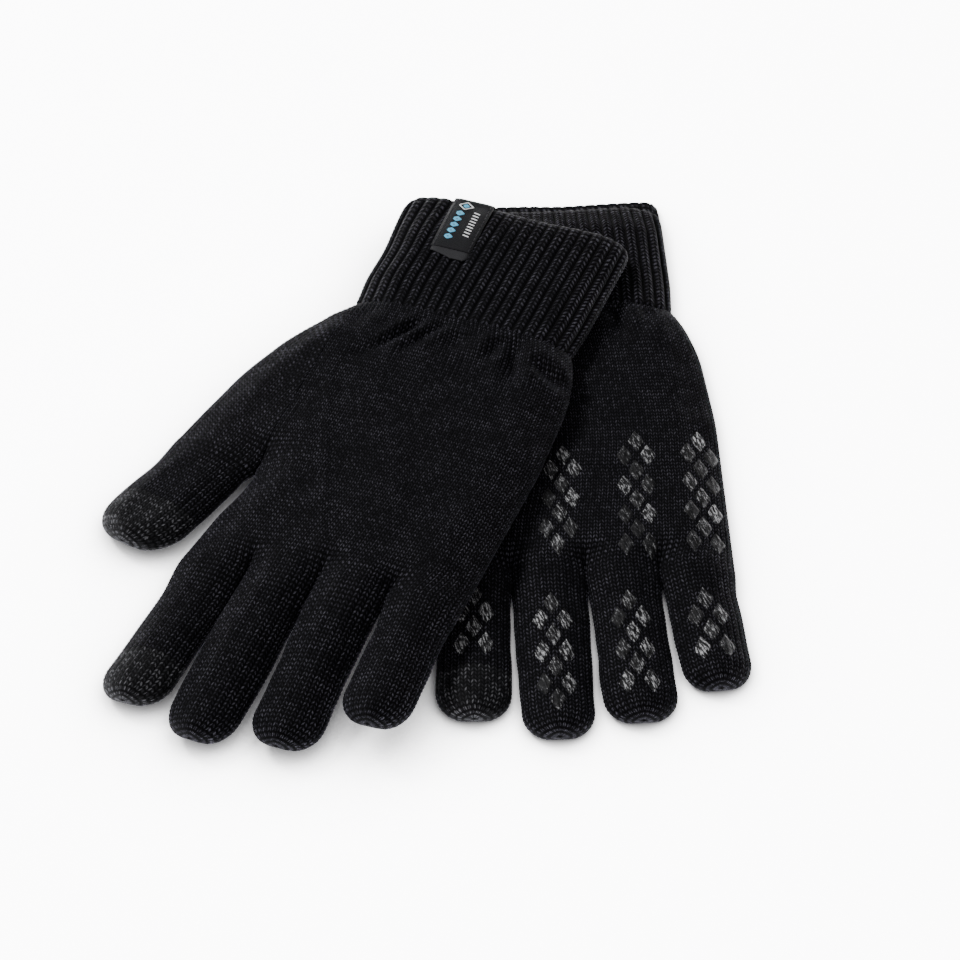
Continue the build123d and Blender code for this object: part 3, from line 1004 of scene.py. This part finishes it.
# ---- materials ----
class Nodes:
    """Short forms for wiring a material's nodes, from sockets or plain numbers."""

    def __init__(self, name):
        self.material = bpy.data.materials.new(name)
        self.material.use_nodes = True
        self.tree = self.material.node_tree
        self.shader = self.tree.nodes["Principled BSDF"]

    def link(self, value, socket):
        if isinstance(value, bpy.types.NodeSocket):
            self.tree.links.new(value, socket)
        else:
            socket.default_value = value

    def set(self, node=None, **values):
        """Fills the inputs of a node, or else of the shader, by their names."""
        for key, value in values.items():
            self.link(value, (node or self.shader).inputs[key.replace("_", " ")])

    def make(self, kind, *values, **settings):
        """A node with its settings, and with values on its first inputs."""
        node = self.tree.nodes.new("ShaderNode" + kind)
        for key, value in settings.items():
            setattr(node, key, value)
        for value, socket in zip(values, node.inputs):
            self.link(value, socket)
        return node

    def math(self, operation, *values):
        return self.make("Math", *values, operation=operation).outputs[0]

    def times(self, a, b):
        return self.math("MULTIPLY", a, b)

    def map(self, value, low, high, to_low, to_high):
        return self.make("MapRange", value, low, high, to_low, to_high).outputs[0]

    def vector(self, x, y, z=0.0):
        return self.make("CombineXYZ", x, y, z).outputs[0]

    def knit_uv(self):
        split = self.make("SeparateXYZ", self.make("UVMap", uv_map="knit").outputs["UV"])
        return split.outputs["X"], split.outputs["Y"]

    def place(self):
        return self.make("TexCoord").outputs["Object"]

    def noise(self, vector, scale, detail=2.0, rough=0.6):
        node = self.make("TexNoise", vector)
        self.set(node, Scale=scale, Detail=detail, Roughness=rough)
        return node.outputs["Fac"]

    def white(self, vector):
        return self.make("TexWhiteNoise", vector).outputs["Value"]

    def ramp(self, value, stops):
        node = self.make("ValToRGB", value)
        elements = node.color_ramp.elements
        while len(elements) < len(stops):
            elements.new(0.5)
        for element, (position, colour) in zip(elements, stops):
            element.position = position
            element.color = (*colour, 1)
        return node.outputs[0]

    def bump(self, height, strength, distance):
        node = self.make("Bump")
        self.set(node, Strength=strength, Distance=distance, Height=height)
        self.set(Normal=node.outputs[0])


# noise scales, per metre
FUZZ_SCALE = 2600.0
CLOUD_SCALE = 140.0
SPECK_SCALE = 1900.0


def yarn_material(name, shades, spread, sheen, rough, painted_groove_level):
    """Spun yarn: each leg of each stitch has its own tone, with fibres along it, and painted shade in the grooves
    between its legs and in the gaps between stitches.
    """
    n = Nodes(name)
    wale, course = n.knit_uv()
    leg = n.math("FLOOR", n.times(wale, 2.0))
    own = n.math("POWER", n.white(n.vector(leg, n.math("FLOOR", course))), 1.6)
    along_yarn = n.vector(n.times(wale, 3.0), n.times(course, 11.0), leg)
    fibres = n.noise(along_yarn, 1.0, 3.0, 0.7)
    fuzz = n.noise(n.place(), FUZZ_SCALE, 2.0, 0.7)
    cloud = n.noise(n.place(), CLOUD_SCALE, 2.0)
    # painted shade: the colour darkens in the grooves beside and between the legs, and in the gaps from stitch to
    # stitch
    groove = n.math("ABSOLUTE", n.math("SINE", n.times(wale, 2 * math.pi)))
    painted_gap_shade = n.math("ABSOLUTE", n.math("SINE", n.times(course, math.pi)))
    shade = n.map(groove, 0.05, 0.85, painted_groove_level, 1.0)
    for share in (
        n.map(painted_gap_shade, 0.1, 0.9, 0.1, 1.0),
        n.map(fibres, 0.3, 0.7, 0.5, 1.2),
        n.map(own, 0.0, 1.0, 1 - spread, 1 + 1.3 * spread),
        n.map(fuzz, 0.3, 0.7, 0.7, 1.3),
        n.map(cloud, 0.3, 0.7, 0.88, 1.1),
    ):
        shade = n.times(shade, share)
    n.set(Base_Color=n.ramp(shade, shades))
    n.set(Roughness=n.map(fibres, 0.3, 0.7, rough - 0.1, rough + 0.12))
    n.bump(fibres, 0.55, 0.00035)
    n.set(Specular_IOR_Level=0.03, Sheen_Weight=sheen, Sheen_Roughness=0.4)
    n.set(Sheen_Tint=(0.82, 0.86, 1.0, 1.0))
    return n.material


def silicone_material():
    """Printed silicone: dark, with fine bright streaks where the stitches press through, painted into its colour
    as highlights.
    """
    n = Nodes("grip_silicone")
    u, v = n.knit_uv()
    pad = n.math("FLOOR", n.math("DIVIDE", u, PAD_SHIFT))
    own = n.math("POWER", n.white(n.vector(pad, 0.0)), 1.4)
    across_streak = n.times(n.math("ADD", u, n.times(v, -0.25)), 9.0)
    streak = n.noise(n.vector(across_streak, n.times(v, 2.5), pad), 1.0, 2.0, 0.6)
    speck = n.noise(n.place(), SPECK_SCALE, 2.0, 0.8)
    # painted highlight: the bright streaks stand for glints off the silicone along the stitches under it
    painted_glints = n.times(n.map(streak, 0.42, 0.64, 0.0, 1.0), n.map(speck, 0.35, 0.65, 0.4, 1.3))
    shade = n.times(painted_glints, n.map(own, 0.0, 1.0, 0.45, 1.15))
    n.set(Base_Color=n.ramp(shade, SILICONE_SHADES))
    n.set(Roughness=n.map(speck, 0.3, 0.7, 0.34, 0.55), Specular_IOR_Level=0.07)
    n.bump(n.math("ADD", streak, speck), 0.7, 0.0003)
    return n.material


def satin_material(name, dark, light, across=5.0):
    """Closely woven ribbon: fine crosswise ridges of thread with a soft shine."""
    n = Nodes(name)
    u, v = n.knit_uv()
    ridge = n.math("SINE", n.times(v, 2 * math.pi * across))
    warp = n.math("SINE", n.times(u, 2 * math.pi * across * 0.8))
    cloth = n.times(ridge, warp)
    grain = n.noise(n.vector(n.times(u, 1.2), n.times(v, 9.0)), 1.0, 2.0)
    shade = n.math("ADD", n.map(grain, 0.3, 0.7, 0.0, 0.7), n.map(cloth, -1.0, 1.0, 0.0, 0.3))
    n.set(Base_Color=n.ramp(shade, ((0.0, dark), (1.0, light))))
    n.set(Roughness=n.map(grain, 0.3, 0.7, 0.42, 0.6))
    n.bump(cloth, 0.35, 0.0001)
    n.set(Specular_IOR_Level=0.1, Sheen_Weight=0.01, Sheen_Roughness=0.3)
    return n.material


PAINTED_SHADOW_REACH = 0.035  # metres round the gloves in which the floor's glow is dimmed, a painted shadow
PAINTED_SHADOW_POWER = 3.0
FLOOR_GLOW = 10.0


def floor_material():
    """A lit and glowing white sweep, its glow dimmed where the gloves rest on it as a painted soft shadow."""
    n = Nodes("pale_floor")
    open_sky = n.make("AmbientOcclusion", samples=8)
    n.set(open_sky, Distance=PAINTED_SHADOW_REACH)
    # painted shadow: the floor's glow falls off where the gloves hem it in
    painted_shadow = n.math("POWER", open_sky.outputs["AO"], PAINTED_SHADOW_POWER)
    n.set(Base_Color=(0.93, 0.93, 0.935, 1), Roughness=0.7, Specular_IOR_Level=0.2)
    n.set(Emission_Color=(0.99, 0.985, 1, 1), Emission_Strength=n.times(painted_shadow, FLOOR_GLOW))
    return n.material


# the shades of each yarn, from the painted shade deep between stitches to their brightest fibres
BLACK_SHADES = (
    (0.0, (0.0001, 0.0001, 0.0002)),
    (0.4, (0.0011, 0.00105, 0.0015)),
    (0.8, (0.0096, 0.0093, 0.012)),
    (1.0, (0.047, 0.0455, 0.056)),
)
TOUCH_SHADES = (
    (0.0, (0.0003, 0.0003, 0.0004)),
    (0.4, (0.0045, 0.0045, 0.005)),
    (0.8, (0.0185, 0.0185, 0.021)),
    (1.0, (0.072, 0.072, 0.078)),
)
# the silicone's brightest shade is its painted highlight
SILICONE_SHADES = (
    (0.0, (0.0012, 0.0012, 0.0014)),
    (0.3, (0.014, 0.014, 0.0155)),
    (1.0, (0.36, 0.36, 0.37)),
)
# yarns: shades, spread between stitches, sheen, roughness, light left by the painted shade in the grooves between
# the legs
MATERIALS = {
    "rib_knit": yarn_material("rib_yarn", BLACK_SHADES, 0.15, 0.012, 0.62, 0.3),
    "black_knit": yarn_material("black_yarn", BLACK_SHADES, 0.16, 0.012, 0.65, 0.04),
    "touch_yarn": yarn_material("conductive_yarn", TOUCH_SHADES, 0.38, 0.02, 0.55, 0.12),
    "grip_silicone": silicone_material(),
    "label_satin": satin_material("label_satin", (0.0014, 0.0014, 0.002), (0.006, 0.006, 0.008)),
    "label_tab": satin_material("tab_weave", (0.009, 0.009, 0.0102), (0.026, 0.026, 0.029)),
    "thread": satin_material("sewing_thread", (0.012, 0.012, 0.014), (0.05, 0.05, 0.056)),
    "blue_thread": satin_material("blue_thread", (0.06, 0.30, 0.50), (0.16, 0.50, 0.72), 6.0),
    "white_thread": satin_material("white_thread", (0.55, 0.56, 0.58), (0.85, 0.85, 0.86), 6.0),
}


def dress(piece, slot, body=None, node=None, material=None):
    """Gives a piece the material of its slot, hangs it on the body it rides on, and hides the CAD node it stands
    for.
    """
    piece.data.materials.append(MATERIALS[material or slot])
    if body:
        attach(piece, body)
    if node:
        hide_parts(node)
    return piece


# ---- building ----
BEND = (-2.0, 9.0)  # two distances past a digit's joint, whose points are worked out for each digit but not used: the knit does not bend there
FACE_NAMES = {
    "right": {"top": "palm", "under": "back"},
    "left": {"top": "back", "under": "palm"},
}


def build_glove(side):
    """All of a glove's knit and prints. Returns the cuff's builder."""
    body = f"{side}_glove"
    rib = cuff(side)
    dress(rib.object(f"{side}_rib_cuff"), "rib_knit", body, f"{side}_cuff")
    trees = {}
    for face, builder in hand(side).items():
        name = FACE_NAMES[side][face]
        piece = builder.object(f"{side}_hand_{name}_knit")
        dress(piece, "black_knit", body, f"{side}_hand")
        trees[name] = builder.tree()
    palm_up = 1 if side == "right" else -1
    along = np.append(GLOVES[side].along, 0)
    down = np.array([0, 0, -palm_up])
    number = 0
    for column in ("index", "middle", "ring", "little"):
        node = f"{side}_palm_grip_{column}"
        build_print(node, body, trees["palm"], along, down, number)
        number += PADS_IN_COLUMN
    for name in DIGIT_NAMES:
        build_digit(side, name, palm_up, number)
        number += PADS_IN_COLUMN
    return rib


def build_print(node, body, *lie):
    piece = pads(node, *lie).object(f"{node}_print", own_normals=False)
    dress(piece, "grip_silicone", body, node)


def build_digit(side, name, palm_up, number):
    own = DIGITS[side][name]
    plain, *touch = digit(side, name)
    piece = dress(plain.object(f"{side}_{name}_knit"), "black_knit", node=f"{side}_{name}")
    start, end = ((own.origin + own.forward * d) * MM for d in BEND)
    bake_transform(piece)
    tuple(start)
    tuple(end)
    for tip in touch:
        node = f"{side}_{name}_touch_tip"
        dress(tip.object(f"{side}_{name}_touch_knit"), "touch_yarn", own.body, node)
    node = f"{side}_{name}_grip"
    if node in frame["nodes"]:
        build_print(node, own.body, plain.tree(), own.forward, -palm_up * own.up, number)


def build_label(rib):
    """The woven label over the left cuff's rim, with its turned end, marks and stitches."""
    path = LabelPath(rib.tree())
    edge = path.v_of(LABEL_FRONT)
    v = np.arange(0, edge, 0.45)
    half = np.full_like(v, LABEL_WIDTH / 2)
    fabric = strip_solid(path, -half, half, v, 0.0, LABEL_THICKNESS, "left_woven_label")
    dress(fabric, "label_satin", "left_glove", "left_label")

    tab_v = np.linspace(edge - 1.2, edge + TAB_LENGTH - 0.4, 12)
    drawn = np.clip((tab_v - edge - 1.6) / 2.3, 0, 1)  # its end is cut and turned askew
    left = -LABEL_WIDTH / 2 + 0.3 + 7.6 * drawn
    right = LABEL_WIDTH / 2 - 0.2 - 1.3 * drawn**2
    tab = strip_solid(path, left, right, tab_v, -0.2, 0.1, "left_label_turned_end")
    dress(tab, "label_tab", "left_glove", "left_label_tab")
    marks = [*label_marks(path)]
    thread = label_thread(path, edge)


def label_marks(path):
    """Plain ornament in the colours of the real label: diamonds like the grips', and dashes."""
    blue, white = Builder(), Builder()
    top = path.turn_end
    # each diamond's builder, place across and along, half width and length, and line width
    diamonds = [(blue, -2.7, start, 1.1, 0.85, 1.05) for start in np.arange(7.4, 22.0, 3.3)]
    diamonds += [(blue, -1.9, 2.9, 0.8, 0.7, 0.8), (white, -1.9, 2.9, 2.5, 2.1, 0.45)]
    for builder, across, start, half_wide, half_long, width in diamonds:
        line_mark(builder, path, *lozenge(across, top + start, half_wide, half_long), width)
    for start in np.arange(5.6, 18.5, 1.6):
        dash = np.linspace(1.6, 3.9, 7), top + start + np.linspace(0, 0.5, 7)
        line_mark(white, path, *dash, 0.55)
    for builder, name in ((blue, "blue"), (white, "white")):
        piece = builder.object(f"left_label_{name}_marks", own_normals=False)
        yield dress(piece, "label_satin", "left_glove", material=f"{name}_thread")


THREAD_RADIUS = 0.13
THREAD_INSET = 0.85  # of the stitches from the label's edge
STITCH_LENGTH = 1.35
STITCH_PITCH = 2.0


def label_thread(path, edge):
    """Running stitches up both edges of the label, each a short arched tube."""
    builder = Builder()
    turn = np.linspace(0, 2 * math.pi, 7)[:-1]
    arch = 0.17 * np.sin(np.linspace(0, math.pi, 7))[:, None] - 0.03
    height = LABEL_THICKNESS + arch + THREAD_RADIUS * np.sin(turn)
    for side_way in (-1, 1):
        middle = side_way * (LABEL_WIDTH / 2 - THREAD_INSET)
        across = np.tile(middle + THREAD_RADIUS * np.cos(turn), (7, 1))
        for start in np.arange(path.turn_end + 0.6, edge - 1.6, STITCH_PITCH):
            v = start + np.linspace(0, STITCH_LENGTH, 7)[:, None]
            points = path.at(across, np.broadcast_to(v, across.shape), height)
            numbers = builder.add(points, np.zeros_like(points))
            builder.skin_ring(numbers, np.arange(7) * 0.1, v)
    piece = builder.object("left_label_thread", own_normals=False)
    return dress(piece, "thread", "left_glove", "left_label_stitches")


# ---- floor, light, camera, in metres ----
VIEW_ELEVATION = math.radians(42.5)
VIEW_DISTANCE = 1.1
VIEW_TARGET = Vector((0.0177, -0.005, 0.0))
LENS = 134.06
SENSOR = 36.0
FLOOR_HALF = 4.0
WORLD_LIGHT = 0.6
# each lamp's name, place, size in metres and power in watts
LAMPS = (("key", (-1.0, 0.7, 1.2), 0.5, 40.0), ("fill", (0.9, -0.9, 1.1), 1.2, 3.0))


def aimed(name, data, place, back):
    """A lamp or camera at a place, with its back turned that way."""
    holder = linked(name, data)
    holder.location = place
    holder.rotation_mode = "QUATERNION"
    holder.rotation_quaternion = back.to_track_quat("Z", "Y")
    return holder


def floor():
    corners = [(x * FLOOR_HALF, y * FLOOR_HALF, 0) for x, y in ((-1, -1), (1, -1), (1, 1), (-1, 1))]
    mesh = bpy.data.meshes.new("floor")
    mesh.from_pydata(corners, [], [(0, 1, 2, 3)])
    mesh.materials.append(floor_material())
    linked("floor", mesh)


def lamp(name, place, size, power):
    """A round soft light that shines at the gloves."""
    light = bpy.data.lights.new(name, "AREA")
    light.shape = "DISK"
    light.size = size
    light.energy = power
    aimed(name, light, place, Vector(place))


def camera():
    data = bpy.data.cameras.new("camera")
    data.lens = LENS
    data.sensor_width = SENSOR
    back = Vector((0, -math.cos(VIEW_ELEVATION), math.sin(VIEW_ELEVATION)))
    place = VIEW_TARGET + back * VIEW_DISTANCE
    bpy.context.scene.camera = aimed("camera", data, place, back)


def studio():
    floor()
    for name, place, size, power in LAMPS:
        lamp(name, place, size, power)
    world = bpy.data.worlds.new("world")
    bpy.context.scene.world = world
    world.use_nodes = True
    background = world.node_tree.nodes["Background"]
    background.inputs["Color"].default_value = (1, 1, 1, 1)
    background.inputs["Strength"].default_value = WORLD_LIGHT
    camera()


build_glove("right")
build_label(build_glove("left"))
studio()
